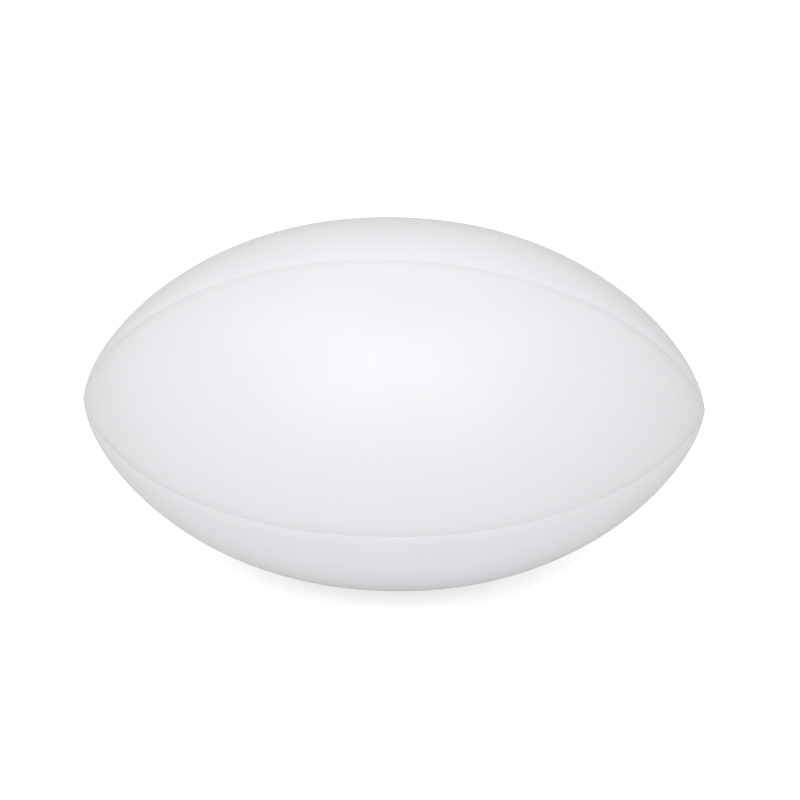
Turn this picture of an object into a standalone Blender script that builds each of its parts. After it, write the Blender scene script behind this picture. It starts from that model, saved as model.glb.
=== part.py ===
"""Rugby ball: four stitched panels, each backed by two cloth plies, round a bladder with a valve.

The ball lies on its side. The origin is its centre, +X is its long axis and +Z is up.
A place on the ball is (x, angle, depth): angle turns round +X from +Y towards +Z, and depth
is measured inwards from the outer surface, square to it.
"""
from math import asin, cos, pi, radians, sin, sqrt

import bmesh
import bpy
from mathutils import Matrix, Vector

# Driving dimensions, in metres and radians.
LENGTH = 0.300
DIAMETER = 0.1795
FULLNESS = 2.1           # power of the length in the outline: 2 would be an ellipse's
POINTEDNESS = 0.65       # power of the whole outline: 0.5 would be an ellipse's
SEAM_ROLL = radians(6)   # how far the first seam lies above the back horizontal
TIP_HOLE_RADIUS = 0.0012

SKIN = 0.0012
PLY = 0.0005
GAP = 0.0003             # between neighbouring pieces
SEAM_DEPTH = 0.006       # how far the turned-in edges reach inwards
SEAM_TIP_DEPTH = 0.0013  # the same at the tips, where the edges taper away
EDGE_TAPER = 0.3         # the edges' share of the ball's radius near the tips
THREAD_RADIUS = 0.0004
THREAD_DEPTH = 0.0044

BLADDER_WALL = 0.0009
BLADDER_DEPTH = 0.0033        # between the seams
BLADDER_SEAM_DEPTH = 0.007    # under the seams and at the tips
BLADDER_VALVE_DEPTH = 0.005   # under the valve's patches
BLADDER_GROOVE = 0.0052       # half the width of the bladder's groove under a seam
BLADDER_TIP_START = 0.045     # the ball's radius where the bladder starts to draw away
BLADDER_TIP_END = 0.020

VALVE_STEM_RADIUS = 0.0038
VALVE_BORE_RADIUS = 0.0022
NEEDLE_RADIUS = 0.0007
NEEDLE_FUNNEL = 0.0010
VALVE_RECESS = 0.0006
VALVE_LENGTH = 0.0165
VALVE_LEDGE = 0.003           # the thick end that keeps the core in
CORE_RECESS = 0.0002
VALVE_FLANGE_RADIUS = 0.009
VALVE_FLANGE_THICKNESS = 0.0011
VALVE_BODY_RADIUS = 0.0052
PATCH_RADIUS = 0.010
LINING_PATCH = 0.0005
BLADDER_PATCH = 0.0008

# The mesh's steps. Every layer has its corners at the same places, so the layers nest.
LENGTH_CELLS = 17
PANEL_CELLS = 6
TURNED_STEPS = 20
TIP_SQUEEZE = 0.35       # how far a panel's inner corners draw together at the tips
SQUEEZE_START = 0.030    # the ball's radius where they start to

HALF_LENGTH = LENGTH / 2
RADIUS = DIAMETER / 2
LINING_DEPTH = SKIN + 2 * (GAP + PLY)
CELL_ANGLE = radians(90) / PANEL_CELLS
VALVE_ANGLE = SEAM_ROLL + 1.5 * CELL_ANGLE
VALVE_COLUMNS = (2, 3)   # the bladder's columns either side of the valve
VALVE_CELL_REACH = 0.02  # its rings this near the middle are the valve cell's ends
PANEL_NAMES = ("top_back", "top_front", "bottom_front", "bottom_back")
SEAM_NAMES = ("back", "top", "front", "bottom")


def new_collection(name):
    collection = bpy.data.collections.new(name)
    bpy.context.scene.collection.children.link(collection)
    return collection


def material(name, colour, roughness, metallic=0.0):
    made = bpy.data.materials.new(name)
    made.use_nodes = True
    shader = made.node_tree.nodes["Principled BSDF"]
    shader.inputs["Base Color"].default_value = (*colour, 1.0)
    shader.inputs["Roughness"].default_value = roughness
    shader.inputs["Metallic"].default_value = metallic
    made.diffuse_color = (*colour, 1.0)
    return made


def closed_mesh(shape, name):
    """The mesh of a closed bmesh, with every face turned outwards and shaded smooth."""
    bmesh.ops.recalc_face_normals(shape, faces=shape.faces)
    if shape.calc_volume(signed=True) < 0:
        bmesh.ops.reverse_faces(shape, faces=shape.faces)
    mesh = bpy.data.meshes.new(name)
    shape.to_mesh(mesh)
    shape.free()
    mesh.shade_smooth()
    mesh.set_sharp_from_angle(angle=radians(40))
    return mesh


def add_object(name, mesh, surface, collection):
    added = bpy.data.objects.new(name, mesh)
    added.data.materials.append(surface)
    collection.objects.link(added)
    return added


# ---- The ball's outline ----

def outline_radius(x):
    return RADIUS * (1 - abs(x / HALF_LENGTH) ** FULLNESS) ** POINTEDNESS


def outline_slope(x):
    t = abs(x / HALF_LENGTH)
    steepness = FULLNESS * POINTEDNESS * RADIUS / HALF_LENGTH
    slope = steepness * t ** (FULLNESS - 1) * (1 - t ** FULLNESS) ** (POINTEDNESS - 1)
    return -slope if x > 0 else slope


def sunk(x, depth):
    """The place (x, radius) that lies depth under the outline at x."""
    slope = outline_slope(x)
    length = sqrt(1 + slope * slope)
    return x + depth * slope / length, outline_radius(x) - depth / length


def length_stations():
    """The x of each ring of corners, close together at the ends as the outline turns in."""
    last_t = (1 - (TIP_HOLE_RADIUS / RADIUS) ** (1 / POINTEDNESS)) ** (1 / FULLNESS)
    last = asin(last_t)
    steps = range(LENGTH_CELLS + 1)
    return [HALF_LENGTH * sin(last * (2 * i / LENGTH_CELLS - 1)) for i in steps]


def panel_angle(x, step):
    """The angle from a panel's first seam to one of its inner corners, drawn in at the tips."""
    squeeze = min(1.0, TIP_SQUEEZE + (1 - TIP_SQUEEZE) * outline_radius(x) / SQUEEZE_START)
    return radians(45) + (step * CELL_ANGLE - radians(45)) * squeeze


def around(x, radius, angle):
    return Vector((x, radius * cos(angle), radius * sin(angle)))


# ---- The panels and plies ----

def layer_corner(panel, x, step, depth, offset):
    """A layer's corner: steps 0 and last end the turned-in edges, and the next ones are folds."""
    first_seam = SEAM_ROLL + panel * radians(90)
    last = PANEL_CELLS + 2
    if step in (0, last):
        depth = min(SEAM_DEPTH, SEAM_TIP_DEPTH + EDGE_TAPER * outline_radius(x))
    at_x, radius = sunk(x, depth)
    if step in (0, 1):
        angle = asin(offset / radius)
    elif step in (last - 1, last):
        angle = radians(90) - asin(offset / radius)
    else:
        angle = panel_angle(x, step - 1)
    return around(at_x, radius, first_seam + angle)


def add_layer(name, panel, depth, thickness, cut_back, surface, collection):
    """One layer of a panel: a flat slab of cells, bent to the ball with its edges turned in."""
    stations = length_stations()
    stations = stations[cut_back:len(stations) - cut_back]
    across = PANEL_CELLS + 2
    shape = bmesh.new()
    bmesh.ops.create_grid(shape, x_segments=len(stations) - 1, y_segments=across, size=0.5)
    slab = bmesh.ops.extrude_face_region(shape, geom=shape.faces[:])
    inner = {item for item in slab["geom"] if isinstance(item, bmesh.types.BMVert)}
    for corner in shape.verts:
        x = stations[round((corner.co.x + 0.5) * (len(stations) - 1))]
        step = round((corner.co.y + 0.5) * across)
        sink = 0.0
        if corner in inner:
            sink = thickness
        side = depth + min(sink, EDGE_TAPER * outline_radius(x))
        corner.co = layer_corner(panel, x, step, depth + sink, GAP / 2 + side)
    return add_object(name, closed_mesh(shape, name), surface, collection)


def add_panels(collection):
    skin = material("white_pvc", (0.86, 0.86, 0.88), 0.32)
    cotton = material("cotton_cloth", (0.72, 0.66, 0.54), 0.9)
    polyester = material("polyester_cloth", (0.62, 0.65, 0.68), 0.8)
    cotton_depth = SKIN + GAP
    polyester_depth = cotton_depth + PLY + GAP
    layers = []
    for panel, place in enumerate(PANEL_NAMES):
        layers.append(add_layer("panel_" + place, panel, 0.0, SKIN, 0, skin, collection))
        layers.append(add_layer("cotton_ply_" + place, panel, cotton_depth, PLY, 1, cotton,
                                collection))
        layers.append(add_layer("polyester_ply_" + place, panel, polyester_depth, PLY, 1,
                                polyester, collection))
    return layers


# ---- The seams' threads ----

def add_thread(name, seam, side, surface, collection):
    """One thread of a seam's lockstitch, lying along one side of the turned-in edges."""
    offset = GAP / 2 + LINING_DEPTH + GAP + THREAD_RADIUS
    stations = length_stations()[1:-1]
    curve = bpy.data.curves.new(name, "CURVE")
    curve.dimensions = "3D"
    curve.bevel_depth = THREAD_RADIUS
    curve.bevel_resolution = 2
    curve.use_fill_caps = True
    line = curve.splines.new("POLY")
    line.points.add(len(stations) - 1)
    for point, x in zip(line.points, stations):
        at_x, radius = sunk(x, THREAD_DEPTH)
        angle = SEAM_ROLL + seam * radians(90) + side * asin(offset / radius)
        point.co = (*around(at_x, radius, angle), 1.0)
    return add_object(name, curve, surface, collection)


def add_threads(collection):
    waxed = material("waxed_thread", (0.80, 0.78, 0.72), 0.6)
    for seam, place in enumerate(SEAM_NAMES):
        add_thread("needle_thread_" + place, seam, 1, waxed, collection)
        add_thread("bobbin_thread_" + place, seam, -1, waxed, collection)


# ---- The bladder ----

def bladder_depth(x, column):
    """The bladder lies against the lining between the seams, and steps in under them."""
    per_panel = PANEL_CELLS + 2
    if column % per_panel in (0, 1, per_panel - 1):
        return BLADDER_SEAM_DEPTH
    if column in VALVE_COLUMNS and abs(x) < VALVE_CELL_REACH:
        return BLADDER_VALVE_DEPTH
    past_start = (BLADDER_TIP_START - outline_radius(x)) / (BLADDER_TIP_START - BLADDER_TIP_END)
    tip_share = min(1.0, max(0.0, past_start))
    return BLADDER_DEPTH + tip_share * (BLADDER_SEAM_DEPTH - BLADDER_DEPTH)


def bladder_angles(x):
    """The angles of one ring's corners: each seam, both sides of it, and the panel's corners."""
    beside = min(BLADDER_GROOVE / outline_radius(x), panel_angle(x, 1) / 2)
    quarter = [0.0, beside]
    quarter += [panel_angle(x, step) for step in range(1, PANEL_CELLS)]
    quarter.append(radians(90) - beside)
    return [angle + turn * radians(90) for turn in range(4) for angle in quarter]


def bladder_corner(x, column):
    at_x, radius = sunk(x, bladder_depth(x, column))
    return around(at_x, radius, SEAM_ROLL + bladder_angles(x)[column])


def add_bladder(collection):
    """A closed butyl bag: a sphere's rings and columns, drawn out to the ball's shape."""
    butyl = material("black_butyl", (0.02, 0.02, 0.022), 0.5)
    stations = length_stations()[1:-1]
    columns = 4 * (PANEL_CELLS + 2)
    rings = len(stations)
    shape = bmesh.new()
    bmesh.ops.create_uvsphere(shape, u_segments=columns, v_segments=rings + 1, radius=1.0)
    tip = HALF_LENGTH - BLADDER_SEAM_DEPTH
    for corner in shape.verts:
        height = Vector((0, 0, 1)).angle(corner.co) / pi * (rings + 1)
        ring = round(height) - 1
        if ring < 0 or ring >= rings:
            corner.co = Vector((tip if ring >= rings else -tip, 0, 0))
            continue
        turn = Vector((1, 0)).angle_signed(corner.co.xy)
        column = round(-turn / (2 * pi) * columns) % columns
        corner.co = bladder_corner(stations[ring], column)
    bladder = add_object("bladder", closed_mesh(shape, "bladder"), butyl, collection)
    wall = bladder.modifiers.new("wall", "SOLIDIFY")
    wall.thickness = BLADDER_WALL
    wall.offset = -1
    wall.use_even_offset = True
    return bladder


# ---- The valve ----

def valve_height(depth):
    """How far out along the valve's axis a layer's flat cell lies at the valve."""
    x = length_stations()[LENGTH_CELLS // 2 + 1]
    return sunk(x, depth)[1] * cos(CELL_ANGLE / 2)


def turned(name, profile, closed, surface, collection):
    """A piece turned about the valve's axis, from (radius, height) corners."""
    mesh = bpy.data.meshes.new(name)
    edges = [(i, i + 1) for i in range(len(profile) - 1)]
    if closed:
        edges.append((len(profile) - 1, 0))
    mesh.from_pydata([(radius, 0, height) for radius, height in profile], edges, [])
    piece = add_object(name, mesh, surface, collection)
    piece.rotation_euler = (VALVE_ANGLE - radians(90), 0, 0)
    screw = piece.modifiers.new("turn", "SCREW")
    screw.axis = "Z"
    screw.steps = TURNED_STEPS
    screw.render_steps = TURNED_STEPS
    screw.use_merge_vertices = True
    screw.merge_threshold = 0.00001
    return piece


def add_washer(name, depth, thickness, surface, collection):
    inside = VALVE_STEM_RADIUS + GAP
    top = valve_height(depth)
    profile = [(inside, top), (PATCH_RADIUS, top), (PATCH_RADIUS, top - thickness),
               (inside, top - thickness)]
    return turned(name, profile, True, surface, collection)


def add_valve(collection):
    rubber = material("valve_rubber", (0.03, 0.03, 0.032), 0.45)
    soft_rubber = material("valve_core_rubber", (0.10, 0.10, 0.105), 0.4)
    cloth = material("patch_cloth", (0.60, 0.56, 0.48), 0.85)
    top = valve_height(VALVE_RECESS)
    flange_top = valve_height(BLADDER_VALVE_DEPTH + BLADDER_WALL) - GAP
    flange_bottom = flange_top - VALVE_FLANGE_THICKNESS
    bottom = top - VALVE_LENGTH
    ledge = bottom + VALVE_LEDGE
    housing = [(VALVE_BORE_RADIUS, top), (VALVE_STEM_RADIUS, top),
               (VALVE_STEM_RADIUS, flange_top), (VALVE_FLANGE_RADIUS, flange_top),
               (VALVE_FLANGE_RADIUS, flange_bottom), (VALVE_BODY_RADIUS, flange_bottom),
               (VALVE_BODY_RADIUS, bottom), (NEEDLE_RADIUS, bottom), (NEEDLE_RADIUS, ledge),
               (VALVE_BORE_RADIUS, ledge)]
    turned("valve_housing", housing, True, rubber, collection)
    core_radius = VALVE_BORE_RADIUS - GAP
    core_top = top - CORE_RECESS
    core = [(0, core_top - NEEDLE_FUNNEL), (NEEDLE_RADIUS, core_top), (core_radius, core_top),
            (core_radius, ledge + GAP), (0, ledge + GAP)]
    turned("valve_core", core, False, soft_rubber, collection)
    add_washer("lining_patch", LINING_DEPTH + GAP, LINING_PATCH, cloth, collection)
    add_washer("bladder_patch", BLADDER_VALVE_DEPTH - GAP - BLADDER_PATCH, BLADDER_PATCH,
               rubber, collection)


def cut_valve_hole(pieces, cutters):
    """The round hole for the valve's stem, through the panel, its plies and the bladder."""
    top = valve_height(0.0) + SKIN
    bottom = valve_height(BLADDER_VALVE_DEPTH + BLADDER_WALL + GAP)
    tilt = Matrix.Rotation(VALVE_ANGLE - radians(90), 4, "X")
    shape = bmesh.new()
    bmesh.ops.create_cone(shape, cap_ends=True, segments=TURNED_STEPS,
                          radius1=VALVE_STEM_RADIUS + GAP, radius2=VALVE_STEM_RADIUS + GAP,
                          depth=top - bottom,
                          matrix=tilt @ Matrix.Translation((0, 0, (top + bottom) / 2)))
    cutter = bpy.data.objects.new("valve_hole_cutter", closed_mesh(shape, "valve_hole_cutter"))
    cutters.objects.link(cutter)
    cutter.hide_render = True
    cutter.display_type = "WIRE"
    for piece in pieces:
        cut = piece.modifiers.new("valve_hole", "BOOLEAN")
        cut.operation = "DIFFERENCE"
        cut.object = cutter


for old in list(bpy.data.objects):
    bpy.data.objects.remove(old)

ball = new_collection("rugby_ball")
cutters = new_collection("cutters")
layers = add_panels(ball)
add_threads(ball)
bladder = add_bladder(ball)
add_valve(ball)
cut_valve_hole([*layers[:3], bladder], cutters)
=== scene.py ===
"""A plain white rugby ball: four stitched panels over two cloth plies, a bladder and its valve.

The ball lies on its side. Its centre is the origin, +X is its long axis and +Z is up.
A place on it is (x, angle, depth): the angle turns round +X from +Y towards +Z, and the depth
goes inwards from the outer surface, square to it. Everything is in metres.
"""
import math

import bmesh
import bpy
from mathutils import Matrix, Vector


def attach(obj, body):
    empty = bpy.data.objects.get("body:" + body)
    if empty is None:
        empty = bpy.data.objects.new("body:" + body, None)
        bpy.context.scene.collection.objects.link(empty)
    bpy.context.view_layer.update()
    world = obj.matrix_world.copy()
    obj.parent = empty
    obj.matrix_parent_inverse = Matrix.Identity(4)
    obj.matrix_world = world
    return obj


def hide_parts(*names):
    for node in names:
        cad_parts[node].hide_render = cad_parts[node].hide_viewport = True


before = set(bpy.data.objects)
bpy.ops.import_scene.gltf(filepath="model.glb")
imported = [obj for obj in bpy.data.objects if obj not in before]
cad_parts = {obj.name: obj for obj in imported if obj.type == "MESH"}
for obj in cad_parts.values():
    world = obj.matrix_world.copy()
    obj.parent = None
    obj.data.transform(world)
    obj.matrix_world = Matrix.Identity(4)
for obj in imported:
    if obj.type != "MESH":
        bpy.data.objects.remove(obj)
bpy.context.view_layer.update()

# ---- Outer panels -----------------------------------------------------------------------
# Four leaf-shaped panels of smooth white PVC sheet, each a quarter of the way round the ball.
# They are sewn face to face and turned, so each edge folds inwards at the seam. The thread
# pulls every fold down into a shallow crease, a little more at each stitch.

LENGTH = 0.300
DIAMETER = 0.1795
FULLNESS = 2.1
POINTEDNESS = 0.65
SEAM_ROLL = math.radians(6)
QUARTER = math.radians(90)
HALF_LENGTH = LENGTH / 2
RADIUS = DIAMETER / 2
TIP_RADIUS = 0.00025

SKIN = 0.0012
PLY = 0.0005
GAP = 0.0003
HALF_SEAM_GAP = 0.00001
SEAM_DEPTH = 0.006
FOLD_RADIUS = 0.00028
CREASE_DEPTH = 0.0005
CREASE_WIDTH = 0.0036
NIP_DEPTH = 0.00008
NIP_WIDTH = 0.0009
STITCH = 0.0045
PUCKER = 0.00009
PUCKER_WIDTH = 0.0030
SEAM_TAPER_START = 0.030
CREASE_TAPER_START = 0.012
TIP_GATHER = 0.9
TIP_GATHER_START = 0.06
VALVE_ANGLE = SEAM_ROLL + math.radians(22.5)
DIMPLE_DEPTH = 0.0005
DIMPLE_WIDTH = 0.009
WIDEST_SINE = 0.7

PANEL_PLACES = ("top_back", "top_front", "bottom_front", "bottom_back")


def outline_radius(x):
    return RADIUS * (1 - abs(x / HALF_LENGTH) ** FULLNESS) ** POINTEDNESS


def outline_slope(x):
    t = abs(x / HALF_LENGTH)
    steepness = FULLNESS * POINTEDNESS * RADIUS / HALF_LENGTH
    slope = steepness * t ** (FULLNESS - 1) * (1 - t ** FULLNESS) ** (POINTEDNESS - 1)
    return -slope if x > 0 else slope


def length_rows(count, tip_radius):
    """Rows from tip to tip as (x, radius, normal along x, normal outwards, run from the middle)."""
    last_t = (1 - (tip_radius / RADIUS) ** (1 / POINTEDNESS)) ** (1 / FULLNESS)
    last = math.asin(last_t)
    places = [HALF_LENGTH * math.sin(last * (2 * i / count - 1)) for i in range(count + 1)]
    rows = []
    run = 0.0
    for i, x in enumerate(places):
        radius = outline_radius(x)
        if rows:
            run += math.hypot(x - rows[-1][0], radius - rows[-1][1])
        slope = outline_slope(x)
        tilt = math.hypot(1, slope)
        rows.append((x, radius, -slope / tilt, 1 / tilt, run))
    return [(*row[:4], row[4] - run / 2) for row in rows]


def around(x, radius, angle):
    return Vector((x, radius * math.cos(angle), radius * math.sin(angle)))


def crease(from_seam, run, radius):
    """How far the seam's thread pulls the surface down, this far from the seam."""
    valley = CREASE_DEPTH * math.exp(-(from_seam / CREASE_WIDTH) ** 2)
    nip = NIP_DEPTH * math.exp(-(from_seam / NIP_WIDTH) ** 2)
    pull = 0.5 + 0.5 * math.cos(2 * math.pi * run / STITCH)
    pucker = PUCKER * pull * math.exp(-(from_seam / PUCKER_WIDTH) ** 2)
    near_tip = 1 + TIP_GATHER * (1 - min(1.0, radius / TIP_GATHER_START))
    return near_tip * min(1.0, radius / CREASE_TAPER_START) * (valley + nip + pucker)


def dimple(x, angle):
    """How far the valve holds the layers down, at this place."""
    from_valve = math.hypot(x, (angle - VALVE_ANGLE) * RADIUS)
    return DIMPLE_DEPTH * math.exp(-(from_valve / DIMPLE_WIDTH) ** 2)


def section(depth, thickness, fold_radius, face):
    """Half a layer's section, from its turned-in edge to past the fold, as (offset, depth)."""
    offset = HALF_SEAM_GAP + depth + face * thickness
    level = depth + face * thickness
    radius = fold_radius if face == 0 else max(fold_radius - thickness, 0.0001)
    points = [(offset, SEAM_DEPTH), (offset, (SEAM_DEPTH + level) / 2)]
    for step in range(5):
        turn = math.radians(22.5 * step)
        points.append((offset + radius * (1 - math.cos(turn)), level + radius * (1 - math.sin(turn))))
    fold_end = HALF_SEAM_GAP + depth + max(fold_radius, thickness) + 0.0001
    for width in (0.0002, 0.0006, 0.0011, 0.0017, 0.0024, 0.0032, 0.0042, 0.0055, 0.0075, 0.0100):
        points.append((fold_end + width, level))
    return points


def panel_layer(name, panel, depth, thickness, fold_radius, rows, inner_columns):
    """One layer of a panel: a flat slab of cells bent to the ball, its edges turned inwards."""
    halves = [section(depth, thickness, fold_radius, face) for face in (0, 1)]
    side = len(halves[0])
    columns = 2 * side + inner_columns - 1
    shape = bmesh.new()
    bmesh.ops.create_grid(shape, x_segments=len(rows) - 1, y_segments=columns, size=0.5)
    slab = bmesh.ops.extrude_face_region(shape, geom=shape.faces[:])
    inner = {item for item in slab["geom"] if isinstance(item, bmesh.types.BMVert)}
    seam_map = {}
    cloth_map = {}
    for corner in shape.verts:
        row = round((corner.co.x + 0.5) * (len(rows) - 1))
        column = round((corner.co.y + 0.5) * columns)
        x, radius, along, outwards, run = rows[row]
        taper = min(1.0, radius / SEAM_TAPER_START)
        half = halves[1 if corner in inner else 0]
        step = min(column, columns - column)
        last_offset, level = half[-1]
        turned_in = 0.0
        if step < side:
            offset, sink = half[step]
            turned_in = (sink - level) * taper
            sink = level + turned_in + crease(offset * taper, run, radius)
            sunk_radius = radius - sink * outwards
            angle = math.asin(min(offset * taper / sunk_radius, WIDEST_SINE))
        else:
            sink = level
            sunk_radius = radius - sink * outwards
            edge = math.asin(last_offset * taper / sunk_radius)
            share = (column - side + 1) / (inner_columns + 1)
            angle = edge + share * (QUARTER - 2 * edge)
            sink += crease(min(angle, QUARTER - angle) * sunk_radius, run, radius)
            step = column
        far_side = column > columns / 2 and step != column
        if far_side:
            angle = QUARTER - angle
        turn = SEAM_ROLL + panel * QUARTER + angle
        sink += dimple(x, turn)
        corner.co = around(x - sink * along, radius - sink * outwards, turn)
        across = (angle - QUARTER / 2) * sunk_radius
        seam_map[corner] = (run, min(angle, QUARTER - angle) * sunk_radius)
        cloth_map[corner] = (run, across + (turned_in if far_side else -turned_in))
    for map_name, places in (("from_seam", seam_map), ("cloth", cloth_map)):
        layer = shape.loops.layers.uv.new(map_name)
        for face in shape.faces:
            for loop in face.loops:
                loop[layer].uv = places[loop.vert]
    return closed_piece(name, shape)


def closed_piece(name, shape):
    """A closed bmesh as an object, its faces outwards and its sharp edges kept."""
    bmesh.ops.recalc_face_normals(shape, faces=shape.faces)
    if shape.calc_volume(signed=True) < 0:
        bmesh.ops.reverse_faces(shape, faces=shape.faces)
    mesh = bpy.data.meshes.new(name)
    shape.to_mesh(mesh)
    shape.free()
    mesh.shade_smooth()
    mesh.set_sharp_from_angle(angle=math.radians(50))
    piece = bpy.data.objects.new(name, mesh)
    bpy.context.scene.collection.objects.link(piece)
    return piece


def node_group(name, inputs, outputs):
    """A shader group with named sockets. Returns it with its input and output nodes."""
    group = bpy.data.node_groups.new(name, "ShaderNodeTree")
    for label, kind, value in inputs:
        socket = group.interface.new_socket(label, in_out="INPUT", socket_type=kind)
        if value is not None:
            socket.default_value = value
    for label, kind in outputs:
        group.interface.new_socket(label, in_out="OUTPUT", socket_type=kind)
    return group, group.nodes.new("NodeGroupInput"), group.nodes.new("NodeGroupOutput")


def add_node(tree, kind, links=(), **settings):
    """A node with its settings made and its inputs linked or set, by name or by number."""
    node = tree.nodes.new(kind)
    for setting, value in settings.items():
        setattr(node, setting, value)
    for socket, value in dict(links).items():
        if isinstance(value, bpy.types.NodeSocket):
            tree.links.new(value, node.inputs[socket])
        else:
            node.inputs[socket].default_value = value
    return node


def maths(tree, operation, first, second=0.0):
    return add_node(tree, "ShaderNodeMath", {0: first, 1: second}, operation=operation).outputs[0]


def grouped(tree, group, links):
    return add_node(tree, "ShaderNodeGroup", links, node_tree=group)


def surface(name, roughness, **shader_values):
    """A Principled material. Returns it with its node tree and its shader."""
    made = bpy.data.materials.new(name)
    made.use_nodes = True
    shader = made.node_tree.nodes["Principled BSDF"]
    shader.inputs["Roughness"].default_value = roughness
    for socket, value in shader_values.items():
        shader.inputs[socket.replace("_", " ")].default_value = value
    return made, made.node_tree, shader


# Slow blotches between two values, as in handled plastic or rubber.
mottle, mottle_in, mottle_out = node_group(
    "mottle",
    [("Vector", "NodeSocketVector", None), ("Size", "NodeSocketFloat", 0.01),
     ("Low", "NodeSocketFloat", 0.0), ("High", "NodeSocketFloat", 1.0)],
    [("Value", "NodeSocketFloat")])
mottle_scale = maths(mottle, "DIVIDE", 1.0, mottle_in.outputs["Size"])
mottle_noise = add_node(mottle, "ShaderNodeTexNoise",
                        {"Vector": mottle_in.outputs["Vector"], "Scale": mottle_scale,
                         "Detail": 3.0, "Roughness": 0.55})
mottle_range = add_node(mottle, "ShaderNodeMapRange",
                        {"Value": mottle_noise.outputs["Fac"], "From Min": 0.3, "From Max": 0.7,
                         "To Min": mottle_in.outputs["Low"], "To Max": mottle_in.outputs["High"]})
mottle.links.new(mottle_range.outputs["Result"], mottle_out.inputs["Value"])

# Fine pebbled grain as a height, such as a calender roll or a mould leaves.
grain, grain_in, grain_out = node_group(
    "grain",
    [("Vector", "NodeSocketVector", None), ("Size", "NodeSocketFloat", 0.0005)],
    [("Height", "NodeSocketFloat")])
grain_scale = maths(grain, "DIVIDE", 1.0, grain_in.outputs["Size"])
grain_cells = add_node(grain, "ShaderNodeTexVoronoi",
                       {"Vector": grain_in.outputs["Vector"], "Scale": grain_scale},
                       feature="SMOOTH_F1")
grain_noise = add_node(grain, "ShaderNodeTexNoise",
                       {"Vector": grain_in.outputs["Vector"], "Scale": grain_scale,
                        "Detail": 2.0})
grain_height = maths(grain, "ADD", grain_cells.outputs["Distance"], grain_noise.outputs["Fac"])
grain.links.new(grain_height, grain_out.inputs["Height"])

WHITE = (0.746, 0.737, 0.764, 1.0)
HANDLED_WHITE = (0.738, 0.731, 0.756, 1.0)
# Painted shade: a little grey mixed into the white along each seam line, for the shade in the seam's
# crease.
SEAM_SHADE_GREY = (0.62, 0.615, 0.63, 1.0)
SEAM_SHADE_SHARE = 0.08
SEAM_SHADE_WIDTH = 0.001
PVC_ROUGHNESS = 0.3
PVC_ROUGHNESS_LOW = 0.285
PVC_ROUGHNESS_HIGH = 0.325
pvc, pvc_tree, pvc_shader = surface("white_pvc", PVC_ROUGHNESS, IOR=1.5)
pvc_place = add_node(pvc_tree, "ShaderNodeTexCoord").outputs["Object"]
pvc_shine = grouped(pvc_tree, mottle, {"Vector": pvc_place, "Size": 0.03,
                                       "Low": PVC_ROUGHNESS_LOW, "High": PVC_ROUGHNESS_HIGH})
pvc_tree.links.new(pvc_shine.outputs["Value"], pvc_shader.inputs["Roughness"])
pvc_handling = grouped(pvc_tree, mottle, {"Vector": pvc_place, "Size": 0.06, "Low": 0.0, "High": 0.5})
pvc_tone = add_node(pvc_tree, "ShaderNodeMix",
                    {"Factor": pvc_handling.outputs["Value"], 6: WHITE,
                     7: HANDLED_WHITE}, data_type="RGBA")
# Painted shade along the seams: the white is mixed towards grey within a millimetre of each seam, fading
# to none.
pvc_seam_map = add_node(pvc_tree, "ShaderNodeUVMap", uv_map="from_seam")
pvc_from_seam = add_node(pvc_tree, "ShaderNodeSeparateXYZ", {"Vector": pvc_seam_map.outputs["UV"]})
pvc_seam_painted_shade = add_node(pvc_tree, "ShaderNodeMapRange",
                         {"Value": pvc_from_seam.outputs["Y"], "From Min": 0.0001,
                          "From Max": SEAM_SHADE_WIDTH, "To Min": SEAM_SHADE_SHARE, "To Max": 0.0})
pvc_colour = add_node(pvc_tree, "ShaderNodeMix",
                      {"Factor": pvc_seam_painted_shade.outputs["Result"], 6: pvc_tone.outputs[2],
                       7: SEAM_SHADE_GREY}, data_type="RGBA")
pvc_tree.links.new(pvc_colour.outputs[2], pvc_shader.inputs["Base Color"])
pvc_grain = grouped(pvc_tree, grain, {"Vector": pvc_place, "Size": 0.0006})
pvc_bump = add_node(pvc_tree, "ShaderNodeBump",
                    {"Height": pvc_grain.outputs["Height"], "Strength": 0.06, "Distance": 0.0001})
pvc_tree.links.new(pvc_bump.outputs["Normal"], pvc_shader.inputs["Normal"])

skin_rows = length_rows(640, TIP_RADIUS)
valve_skin_rows = length_rows(400, TIP_RADIUS)
skins = []
for panel, place in enumerate(PANEL_PLACES):
    rows, columns = (valve_skin_rows, 80) if place == "top_back" else (skin_rows, 22)
    skin = panel_layer("skin_" + place, panel, 0.0, SKIN, FOLD_RADIUS, rows, columns)
    skin.data.materials.append(pvc)
    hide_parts("panel_" + place)
    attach(skin, "root")
    skins.append(skin)

# ---- Cloth plies ------------------------------------------------------------------------
# Behind each panel lie a ply of unbleached cotton and a ply of grey polyester, both plain
# weave and laminated to the panel. They are sewn into the same seams, so they turn in with it.

PLY_FOLD = 0.0006

# Plain weave on a map in metres: yarns over and under each other, as a height and a yarn tone.
weave, weave_in, weave_out = node_group(
    "weave",
    [("Vector", "NodeSocketVector", None), ("Pitch", "NodeSocketFloat", 0.0008)],
    [("Height", "NodeSocketFloat"), ("Tone", "NodeSocketFloat")])
weave_xyz = add_node(weave, "ShaderNodeSeparateXYZ", {"Vector": weave_in.outputs["Vector"]})
weave_turn = maths(weave, "DIVIDE", math.pi, weave_in.outputs["Pitch"])
warp_turn = maths(weave, "MULTIPLY", weave_xyz.outputs["X"], weave_turn)
weft_turn = maths(weave, "MULTIPLY", weave_xyz.outputs["Y"], weave_turn)
warp_round = maths(weave, "ABSOLUTE", maths(weave, "SINE", warp_turn))
weft_round = maths(weave, "ABSOLUTE", maths(weave, "SINE", weft_turn))
over = maths(weave, "MULTIPLY", maths(weave, "COSINE", warp_turn), maths(weave, "COSINE", weft_turn))
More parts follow.
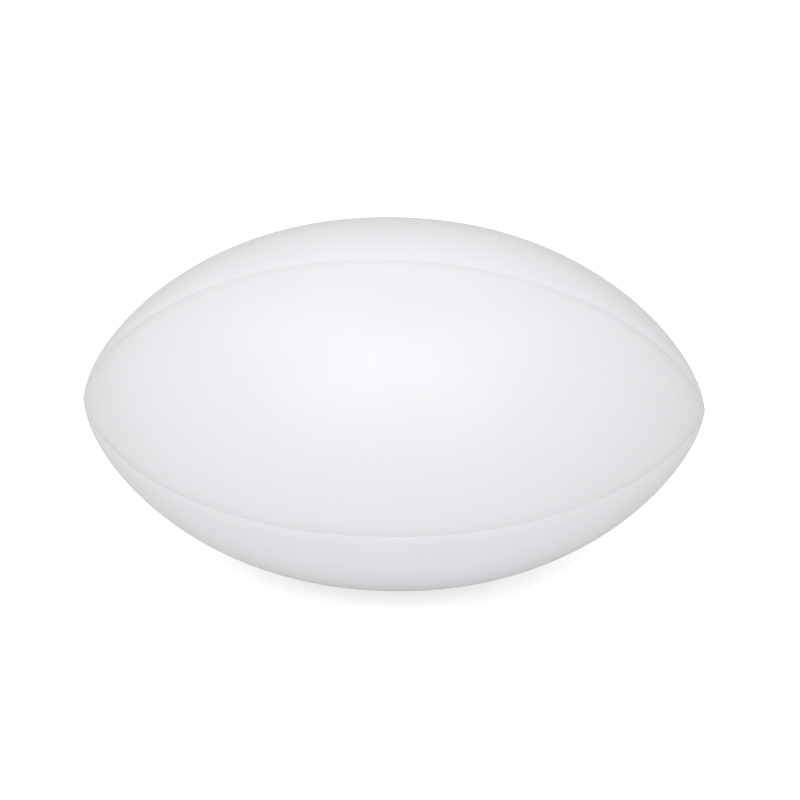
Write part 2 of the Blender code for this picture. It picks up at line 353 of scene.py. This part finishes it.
over_share = add_node(weave, "ShaderNodeMapRange",
                      {"Value": over, "From Min": -0.4, "From Max": 0.4}).outputs["Result"]
warp_height = maths(weave, "MULTIPLY", warp_round, over_share)
weft_height = maths(weave, "MULTIPLY", weft_round, maths(weave, "SUBTRACT", 1.0, over_share))
weave.links.new(maths(weave, "MAXIMUM", warp_height, weft_height), weave_out.inputs["Height"])
yarn_cells = add_node(weave, "ShaderNodeTexNoise",
                      {"Vector": weave_in.outputs["Vector"], "Scale": 900.0, "Detail": 2.0})
weave.links.new(yarn_cells.outputs["Fac"], weave_out.inputs["Tone"])


def cloth_surface(name, light, dark, roughness, pitch, height):
    """Woven cloth on the piece's own map."""
    made, tree, shader = surface(name, roughness, Sheen_Weight=0.25, Sheen_Roughness=0.6)
    place = add_node(tree, "ShaderNodeUVMap", uv_map="cloth").outputs["UV"]
    yarns = grouped(tree, weave, {"Vector": place, "Pitch": pitch})
    between = add_node(tree, "ShaderNodeMapRange",
                       {"Value": yarns.outputs["Height"], "From Min": 0.05, "From Max": 0.5})
    yarn_light = add_node(tree, "ShaderNodeMix",
                          {"Factor": yarns.outputs["Tone"], 6: dark, 7: light}, data_type="RGBA")
    shaded = [part * 0.45 for part in dark[:3]] + [1.0]
    colour = add_node(tree, "ShaderNodeMix",
                      {"Factor": between.outputs["Result"], 6: shaded,
                       7: yarn_light.outputs[2]}, data_type="RGBA")
    tree.links.new(colour.outputs[2], shader.inputs["Base Color"])
    rough = grouped(tree, mottle, {"Vector": place, "Size": 0.01, "Low": roughness - 0.06,
                                   "High": roughness + 0.04})
    tree.links.new(rough.outputs["Value"], shader.inputs["Roughness"])
    bump = add_node(tree, "ShaderNodeBump", {"Height": yarns.outputs["Height"],
                                             "Strength": 0.7, "Distance": height})
    tree.links.new(bump.outputs["Normal"], shader.inputs["Normal"])
    return made


cotton = cloth_surface("unbleached_cotton", (0.76, 0.70, 0.58, 1.0), (0.58, 0.51, 0.38, 1.0),
                       0.9, 0.0009, 0.00022)
polyester = cloth_surface("grey_polyester", (0.66, 0.69, 0.73, 1.0), (0.50, 0.53, 0.57, 1.0),
                          0.72, 0.0006, 0.00015)
ply_rows = length_rows(220, 0.0012)
plies = []
for cloth_name, cloth, depth in (("cotton", cotton, SKIN + GAP),
                                 ("polyester", polyester, SKIN + 2 * GAP + PLY)):
    for panel, place in enumerate(PANEL_PLACES):
        ply = panel_layer(cloth_name + "_cloth_" + place, panel, depth, PLY, PLY_FOLD, ply_rows, 22)
        ply.data.materials.append(cloth)
        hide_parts(cloth_name + "_ply_" + place)
        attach(ply, "root")
        plies.append(ply)

# ---- Seam threads -----------------------------------------------------------------------
# A lockstitch of thick waxed polyester, one thread along each side of the turned-in edges.
# At every stitch the thread dips into the needle hole, where the two threads lock.

THREAD_RADIUS = 0.0004
THREAD_DEPTH = 0.0044
THREAD_DIP = 0.0007
THREAD_STEPS = 10
THREAD_SIDES = 8
THREAD_LAY = 0.0011
LINING_DEPTH = SKIN + 2 * (GAP + PLY)
SEAM_PLACES = ("back", "top", "front", "bottom")

waxed, waxed_tree, waxed_shader = surface("waxed_thread", 0.55, Sheen_Weight=0.15)
waxed_map = add_node(waxed_tree, "ShaderNodeUVMap", uv_map="along").outputs["UV"]
waxed_xyz = add_node(waxed_tree, "ShaderNodeSeparateXYZ", {"Vector": waxed_map})
waxed_turn = maths(waxed_tree, "MULTIPLY", waxed_xyz.outputs["X"], 2 * math.pi / THREAD_LAY)
waxed_ply = maths(waxed_tree, "MULTIPLY", waxed_xyz.outputs["Y"], 2 * math.pi)
waxed_strand = maths(waxed_tree, "SINE", maths(waxed_tree, "ADD", waxed_turn, waxed_ply))
waxed_height = add_node(waxed_tree, "ShaderNodeMapRange",
                        {"Value": waxed_strand, "From Min": -1.0, "From Max": 1.0})
# Painted shade: the thread's colour darkens into the grooves between its twisted strands and is lighter
# on their crowns.
waxed_groove_shaded_colour = add_node(waxed_tree, "ShaderNodeMix",
                        {"Factor": waxed_height.outputs["Result"], 6: (0.60, 0.57, 0.50, 1.0),
                         7: (0.84, 0.82, 0.76, 1.0)}, data_type="RGBA")
waxed_tree.links.new(waxed_groove_shaded_colour.outputs[2], waxed_shader.inputs["Base Color"])
waxed_wax = grouped(waxed_tree, mottle, {"Vector": waxed_map, "Size": 0.004, "Low": 0.42,
                                         "High": 0.66})
waxed_tree.links.new(waxed_wax.outputs["Value"], waxed_shader.inputs["Roughness"])
waxed_bump = add_node(waxed_tree, "ShaderNodeBump",
                      {"Height": waxed_height.outputs["Result"], "Strength": 0.8,
                       "Distance": 0.0002})
waxed_tree.links.new(waxed_bump.outputs["Normal"], waxed_shader.inputs["Normal"])


def stitch_rows(start_radius):
    """Places along the ball, THREAD_STEPS to a stitch, as rows of length_rows."""
    fine = length_rows(1600, start_radius)
    spacing = STITCH / THREAD_STEPS
    rows = [fine[0]]
    for row in fine:
        if row[4] - rows[-1][4] >= spacing:
            rows.append(row)
    return rows


def thread_tube(name, seam, side, rows):
    """A thread as a bent tube: a grid rolled up round the thread's own path."""
    tube = bmesh.new()
    bmesh.ops.create_cone(tube, cap_ends=True, segments=THREAD_SIDES, radius1=THREAD_RADIUS,
                          radius2=THREAD_RADIUS, depth=1.0)
    lengthwise = [edge for edge in tube.edges if abs(edge.verts[0].co.z - edge.verts[1].co.z) > 0.5]
    bmesh.ops.subdivide_edges(tube, edges=lengthwise, cuts=len(rows) - 2, use_grid_fill=False)
    offset = HALF_SEAM_GAP + LINING_DEPTH + THREAD_RADIUS
    along_map = {}
    for corner in tube.verts:
        row = round((corner.co.z + 0.5) * (len(rows) - 1))
        x, radius, along, outwards, run = rows[row]
        hole = 0.5 + 0.5 * math.cos(2 * math.pi * run / STITCH)
        taper = min(1.0, radius / SEAM_TAPER_START)
        lateral = offset * max(taper, 0.3) - THREAD_DIP * hole ** 3 * taper + corner.co.y
        sink = THREAD_DEPTH * max(taper, 0.3) + corner.co.x
        turn = SEAM_ROLL + seam * QUARTER
        sunk_radius = radius - sink * outwards
        turn_round = math.atan2(corner.co.y, corner.co.x) / (2 * math.pi)
        along_map[corner] = (run, turn_round)
        corner.co = around(x - sink * along, sunk_radius, turn + side * math.asin(lateral / sunk_radius))
    layer = tube.loops.layers.uv.new("along")
    for face in tube.faces:
        for loop in face.loops:
            loop[layer].uv = along_map[loop.vert]
    return closed_piece(name, tube)


thread_rows = stitch_rows(0.004)
for seam, place in enumerate(SEAM_PLACES):
    for kind, side in (("needle", 1), ("bobbin", -1)):
        thread = thread_tube("stitched_" + kind + "_thread_" + place, seam, side, thread_rows)
        thread.data.materials.append(waxed)
        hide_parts(kind + "_thread_" + place)
        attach(thread, "root")

# ---- Bladder ----------------------------------------------------------------------------
# A closed bag of black butyl rubber, dip-moulded, that presses against the lining when it is
# blown up. It bridges the turned-in seams in soft grooves and is flat under the valve's patch.

BLADDER_WALL = 0.0009
BLADDER_DEPTH = 0.0033
BLADDER_SEAM_DEPTH = 0.0072
BLADDER_VALVE_DEPTH = 0.0055
BLADDER_GROOVE = 0.0068
BLADDER_FLAT = 0.0145
BLADDER_COLUMNS = 240
BLADDER_RINGS = 140


def black_rubber(name, roughness, tone, bloom_tone, grain_size):
    """Carbon-black rubber with a grey bloom and the fine grain of its mould."""
    made, tree, shader = surface(name, roughness)
    place = add_node(tree, "ShaderNodeTexCoord").outputs["Object"]
    bloom = grouped(tree, mottle, {"Vector": place, "Size": 0.02, "Low": 0.0, "High": 0.6})
    colour = add_node(tree, "ShaderNodeMix", {"Factor": bloom.outputs["Value"], 6: tone,
                                              7: bloom_tone}, data_type="RGBA")
    tree.links.new(colour.outputs[2], shader.inputs["Base Color"])
    rough = grouped(tree, mottle, {"Vector": place, "Size": 0.008, "Low": roughness - 0.07,
                                   "High": roughness + 0.1})
    tree.links.new(rough.outputs["Value"], shader.inputs["Roughness"])
    pebbles = grouped(tree, grain, {"Vector": place, "Size": grain_size})
    bump = add_node(tree, "ShaderNodeBump", {"Height": pebbles.outputs["Height"],
                                             "Strength": 0.25, "Distance": grain_size / 4})
    tree.links.new(bump.outputs["Normal"], shader.inputs["Normal"])
    return made


butyl = black_rubber("black_butyl", 0.48, (0.018, 0.018, 0.02, 1.0), (0.06, 0.06, 0.063, 1.0), 0.0008)


def bladder_depth(x, radius, turn):
    """How deep the bladder lies, at a place on the ball."""
    from_seam = abs((turn - SEAM_ROLL + QUARTER / 2) % QUARTER - QUARTER / 2) * radius
    groove = math.exp(-(from_seam / BLADDER_GROOVE) ** 4)
    tip = min(1.0, max(0.0, (0.045 - radius) / 0.025))
    tip = tip * tip * (3 - 2 * tip)
    share = max(groove, tip)
    depth = BLADDER_DEPTH + share * (BLADDER_SEAM_DEPTH - BLADDER_DEPTH)
    turned = (turn - VALVE_ANGLE + math.pi) % (2 * math.pi) - math.pi
    from_valve = math.hypot(x, turned * RADIUS)
    flat = math.exp(-(from_valve / BLADDER_FLAT) ** 6)
    return depth + flat * (BLADDER_VALVE_DEPTH - BLADDER_DEPTH)


bag = bmesh.new()
bmesh.ops.create_uvsphere(bag, u_segments=BLADDER_COLUMNS, v_segments=BLADDER_RINGS, radius=1.0)
for corner in bag.verts:
    polar = math.acos(max(-1.0, min(1.0, corner.co.z)))
    x = -HALF_LENGTH * 0.9999 * math.cos(polar)
    turn = math.atan2(corner.co.y, corner.co.x)
    if min(polar, math.pi - polar) < 0.5 * math.pi / BLADDER_RINGS:
        corner.co = Vector((math.copysign(HALF_LENGTH - BLADDER_SEAM_DEPTH, x), 0, 0))
        continue
    radius = outline_radius(x)
    slope = outline_slope(x)
    sink = bladder_depth(x, radius, turn)
    tilt = math.hypot(1, slope)
    corner.co = around(x + sink * slope / tilt, max(radius - sink / tilt, 0.0002), turn)
bladder = closed_piece("butyl_bladder", bag)
wall = bladder.modifiers.new("wall", "SOLIDIFY")
wall.thickness = BLADDER_WALL
wall.offset = -1
bladder.data.materials.append(butyl)
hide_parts("bladder")
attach(bladder, "root")

# ---- Valve and its patches --------------------------------------------------------------
# A moulded black rubber stem in a round hole punched through one back panel, with a flange
# bonded under the bladder's wall. A softer plug inside it closes round the pump's needle. A
# cloth washer backs the lining at the hole, and a rubber washer thickens the bladder there.

VALVE_HOLE = 0.0041
HOLE_ROUNDING = 0.0005
STEM_RADIUS = 0.0038
STEM_RECESS = 0.0006
STEM_TOP = RADIUS - DIMPLE_DEPTH - STEM_RECESS
VALVE_LENGTH = 0.0165
FLANGE_RADIUS = 0.009
FLANGE_TOP = RADIUS - BLADDER_VALVE_DEPTH - BLADDER_WALL - GAP
FLANGE_THICKNESS = 0.0011
BODY_RADIUS = 0.0052
BORE_RADIUS = 0.0022
CORE_RECESS = 0.0002
NEEDLE_RADIUS = 0.0007
FUNNEL_RADIUS = 0.0013
LEDGE = 0.003
PATCH_RADIUS = 0.010
CORNER_ROUNDING = 0.0002


def turned(name, profile, closed, rounding=CORNER_ROUNDING):
    """A piece turned about the valve's axis from (radius, height) corners, its edges rounded."""
    shape = bmesh.new()
    corners = [shape.verts.new((radius, 0, height)) for radius, height in profile]
    sides = [shape.edges.new(pair) for pair in zip(corners, corners[1:])]
    if closed:
        sides.append(shape.edges.new((corners[-1], corners[0])))
    bmesh.ops.spin(shape, geom=corners + sides, axis=(0, 0, 1), cent=(0, 0, 0), dvec=(0, 0, 0),
                   angle=2 * math.pi, steps=72, use_merge=True, use_duplicate=False)
    bmesh.ops.remove_doubles(shape, verts=shape.verts, dist=0.000005)
    bmesh.ops.recalc_face_normals(shape, faces=shape.faces)
    corner_edges = [edge for edge in shape.edges
                    if edge.is_manifold and edge.calc_face_angle() > math.radians(40)]
    if rounding:
        bmesh.ops.bevel(shape, geom=corner_edges, offset=rounding, offset_type="OFFSET",
                        segments=3, profile=0.5, affect="EDGES", material=-1, clamp_overlap=True)
    bmesh.ops.rotate(shape, verts=shape.verts, cent=(0, 0, 0),
                     matrix=Matrix.Rotation(VALVE_ANGLE - math.radians(90), 3, "X"))
    cloth = shape.loops.layers.uv.new("cloth")
    for face in shape.faces:
        for loop in face.loops:
            loop[cloth].uv = (loop.vert.co.x, loop.vert.co.y - loop.vert.co.z)
    return closed_piece(name, shape)


def punch(pieces, outside, rounding):
    """The valve's hole through some pieces, with a rounded lip where the outermost one is."""
    flare = [(VALVE_HOLE + rounding * (1 - math.cos(math.radians(15 * step))),
              outside - rounding * (1 - math.sin(math.radians(15 * step)))) for step in range(7)]
    top = [(VALVE_HOLE + rounding + 0.0003, outside + 0.00002),
           (VALVE_HOLE + rounding + 0.0003, outside + 0.003), (0, outside + 0.003)]
    cutter = turned("valve_punch", [(0, outside - 0.012), (VALVE_HOLE, outside - 0.012)] + flare + top,
                    False, rounding=0)
    for piece in pieces:
        cut = piece.modifiers.new("valve_hole", "BOOLEAN")
        cut.operation = "DIFFERENCE"
        cut.solver = "EXACT"
        cut.object = cutter
        shading = piece.modifiers.new("even_shading", "WEIGHTED_NORMAL")
        shading.keep_sharp = True
        bpy.context.view_layer.update()
        whole = piece.evaluated_get(bpy.context.evaluated_depsgraph_get())
        holed = bpy.data.meshes.new_from_object(whole)
        piece.modifiers.clear()
        piece.data = holed
    bpy.data.objects.remove(cutter)


punch([skins[0]], RADIUS - DIMPLE_DEPTH, HOLE_ROUNDING)
punch([plies[0], plies[4], bladder], RADIUS, 0.0001)

valve_rubber = black_rubber("valve_rubber", 0.42, (0.022, 0.022, 0.024, 1.0),
                            (0.05, 0.05, 0.052, 1.0), 0.0004)
core_rubber = black_rubber("valve_core_rubber", 0.5, (0.09, 0.09, 0.095, 1.0),
                           (0.14, 0.14, 0.145, 1.0), 0.0004)
patch_cloth = cloth_surface("patch_cloth", (0.64, 0.60, 0.51, 1.0), (0.46, 0.42, 0.33, 1.0),
                            0.88, 0.0007, 0.00015)
stem_bottom = STEM_TOP - VALVE_LENGTH
flange_bottom = FLANGE_TOP - FLANGE_THICKNESS
stem_ledge = stem_bottom + LEDGE
housing = turned("moulded_valve_housing",
                 [(BORE_RADIUS, STEM_TOP), (STEM_RADIUS, STEM_TOP), (STEM_RADIUS, FLANGE_TOP),
                  (FLANGE_RADIUS, FLANGE_TOP), (FLANGE_RADIUS, flange_bottom),
                  (BODY_RADIUS, flange_bottom), (BODY_RADIUS, stem_bottom),
                  (NEEDLE_RADIUS, stem_bottom), (NEEDLE_RADIUS, stem_ledge),
                  (BORE_RADIUS, stem_ledge)], True)
core_top = STEM_TOP - CORE_RECESS
core = turned("moulded_valve_core",
              [(0, core_top - FUNNEL_RADIUS), (NEEDLE_RADIUS / 2, core_top - FUNNEL_RADIUS),
               (FUNNEL_RADIUS, core_top), (BORE_RADIUS - 0.0002, core_top),
               (BORE_RADIUS - 0.0002, stem_ledge + 0.0002), (0, stem_ledge + 0.0002)], False,
              rounding=0.0001)
lining_top = RADIUS - DIMPLE_DEPTH - LINING_DEPTH - GAP
washer_hole = VALVE_HOLE + 0.0001
lining_patch = turned("cloth_lining_patch",
                      [(washer_hole, lining_top), (PATCH_RADIUS, lining_top),
                       (PATCH_RADIUS, lining_top - 0.0005), (washer_hole, lining_top - 0.0005)], True)
bladder_top = RADIUS - BLADDER_VALVE_DEPTH + GAP
bladder_patch = turned("rubber_bladder_patch",
                       [(washer_hole, bladder_top + 0.0008), (PATCH_RADIUS, bladder_top + 0.0008),
                        (PATCH_RADIUS, bladder_top), (washer_hole, bladder_top)], True)
for piece, node, finish, slot in ((housing, "valve_housing", valve_rubber, "valve_rubber"),
                                  (core, "valve_core", core_rubber, "core_rubber"),
                                  (lining_patch, "lining_patch", patch_cloth, "patch_cloth"),
                                  (bladder_patch, "bladder_patch", valve_rubber, "bladder_rubber")):
    piece.data.materials.append(finish)
    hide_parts(node)
    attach(piece, "root")

# ---- Stage: floor, light and camera ------------------------------------------------------
# A white paper sweep under the ball, overlit to plain white, with soft light from all round,
# broad panels high in front and weaker ones at the sides and behind.

FLOOR_HALF_WIDTH = 12
FLOOR_WHITE = (0.905, 0.905, 0.905, 1.0)
FLOOR_IN_GLOSS = (0.55, 0.55, 0.55, 1.0)
FLOOR_ROUGHNESS = 0.9
FLOOR_LIFT = 0.45
DOME_LIGHT = 0.68
BACKDROP_LIGHT = 1.05
floor_shape = bmesh.new()
bmesh.ops.create_grid(floor_shape, x_segments=1, y_segments=1, size=FLOOR_HALF_WIDTH)
bmesh.ops.translate(floor_shape, verts=floor_shape.verts, vec=(0, 0, -RADIUS))
floor_mesh = bpy.data.meshes.new("floor")
floor_shape.to_mesh(floor_mesh)
floor_shape.free()
floor = bpy.data.objects.new("floor", floor_mesh)
bpy.context.scene.collection.objects.link(floor)
floor_paper, floor_tree, floor_shader = surface("lit_white_floor", FLOOR_ROUGHNESS)
floor_rays = add_node(floor_tree, "ShaderNodeLightPath").outputs
floor_white = add_node(floor_tree, "ShaderNodeMix",
                       {"Factor": floor_rays["Is Glossy Ray"], 6: FLOOR_WHITE,
                        7: FLOOR_IN_GLOSS}, data_type="RGBA")
floor_tree.links.new(floor_white.outputs[2], floor_shader.inputs["Base Color"])
floor_shader.inputs["Emission Color"].default_value = (1.0, 1.0, 1.0, 1.0)
floor_tree.links.new(maths(floor_tree, "MULTIPLY", floor_rays["Is Camera Ray"], FLOOR_LIFT),
                     floor_shader.inputs["Emission Strength"])
floor_mesh.materials.append(floor_paper)

world = bpy.data.worlds.new("white_studio")
world.use_nodes = True
world_tree = world.node_tree
backdrop = world_tree.nodes["Background"]
backdrop.inputs["Color"].default_value = (1.0, 1.0, 1.0, 1.0)
world_seen = add_node(world_tree, "ShaderNodeLightPath").outputs["Is Camera Ray"]
world_light = add_node(world_tree, "ShaderNodeMapRange",
                       {"Value": world_seen, "To Min": DOME_LIGHT, "To Max": BACKDROP_LIGHT})
world_tree.links.new(world_light.outputs["Result"], backdrop.inputs["Strength"])
bpy.context.scene.world = world

# name, degrees round from the front, degrees up, distance, width, height, watts
SOFTBOXES = (
    ("front_panel", 0, 37, 1.6, 1.6, 1.2, 3.1),
    ("low_front_panel", 0, 13, 1.6, 1.4, 0.6, 0.7),
    ("high_panel", 0, 60, 1.8, 2.4, 1.8, 9.7),
    ("high_softbox", -3, 62, 1.5, 0.66, 0.62, 1.6),
    ("left_panel", -90, 65, 1.6, 1.0, 1.0, 2.0),
    ("right_panel", 90, 65, 1.6, 1.0, 1.0, 1.0),
    ("back_panel", 180, 50, 1.6, 1.2, 1.0, 1.6),
)


def towards(azimuth, elevation):
    """The direction from the ball to a light or camera, azimuth 0 being the front."""
    around_z = math.radians(azimuth)
    up = math.radians(elevation)
    return Vector((math.cos(up) * math.sin(around_z), -math.cos(up) * math.cos(around_z),
                   math.sin(up)))


for name, azimuth, elevation, distance, width, height, watts in SOFTBOXES:
    light = bpy.data.lights.new(name, "AREA")
    light.shape = "RECTANGLE"
    light.size = width
    light.size_y = height
    light.energy = watts
    softbox = bpy.data.objects.new(name, light)
    direction = towards(azimuth, elevation)
    softbox.location = direction * distance
    softbox.rotation_euler = direction.to_track_quat("Z", "Y").to_euler()
    bpy.context.scene.collection.objects.link(softbox)

CAMERA_AZIMUTH = 4.7
CAMERA_ELEVATION = 36.5
CAMERA_ROLL = math.radians(-1.72)
CAMERA_DISTANCE = 1.2405
AIM_RIGHT = 0.004
AIM_UP = 0.0019
LENS_MM = 116
SENSOR_MM = 36
lens_direction = towards(CAMERA_AZIMUTH, CAMERA_ELEVATION)
level_right = Vector((0, 0, 1)).cross(lens_direction).normalized()
camera_right = Matrix.Rotation(CAMERA_ROLL, 3, lens_direction) @ level_right
camera_up = lens_direction.cross(camera_right)
camera_data = bpy.data.cameras.new("camera")
camera_data.lens = LENS_MM
camera_data.sensor_width = SENSOR_MM
camera = bpy.data.objects.new("camera", camera_data)
camera_turn = Matrix((camera_right, camera_up, lens_direction)).transposed().to_4x4()
camera_aim = camera_right * AIM_RIGHT + camera_up * AIM_UP
camera_turn.translation = camera_aim + lens_direction * CAMERA_DISTANCE
camera.matrix_world = camera_turn
bpy.context.scene.collection.objects.link(camera)
bpy.context.scene.camera = camera
bpy.context.scene.view_settings.view_transform = "Standard"
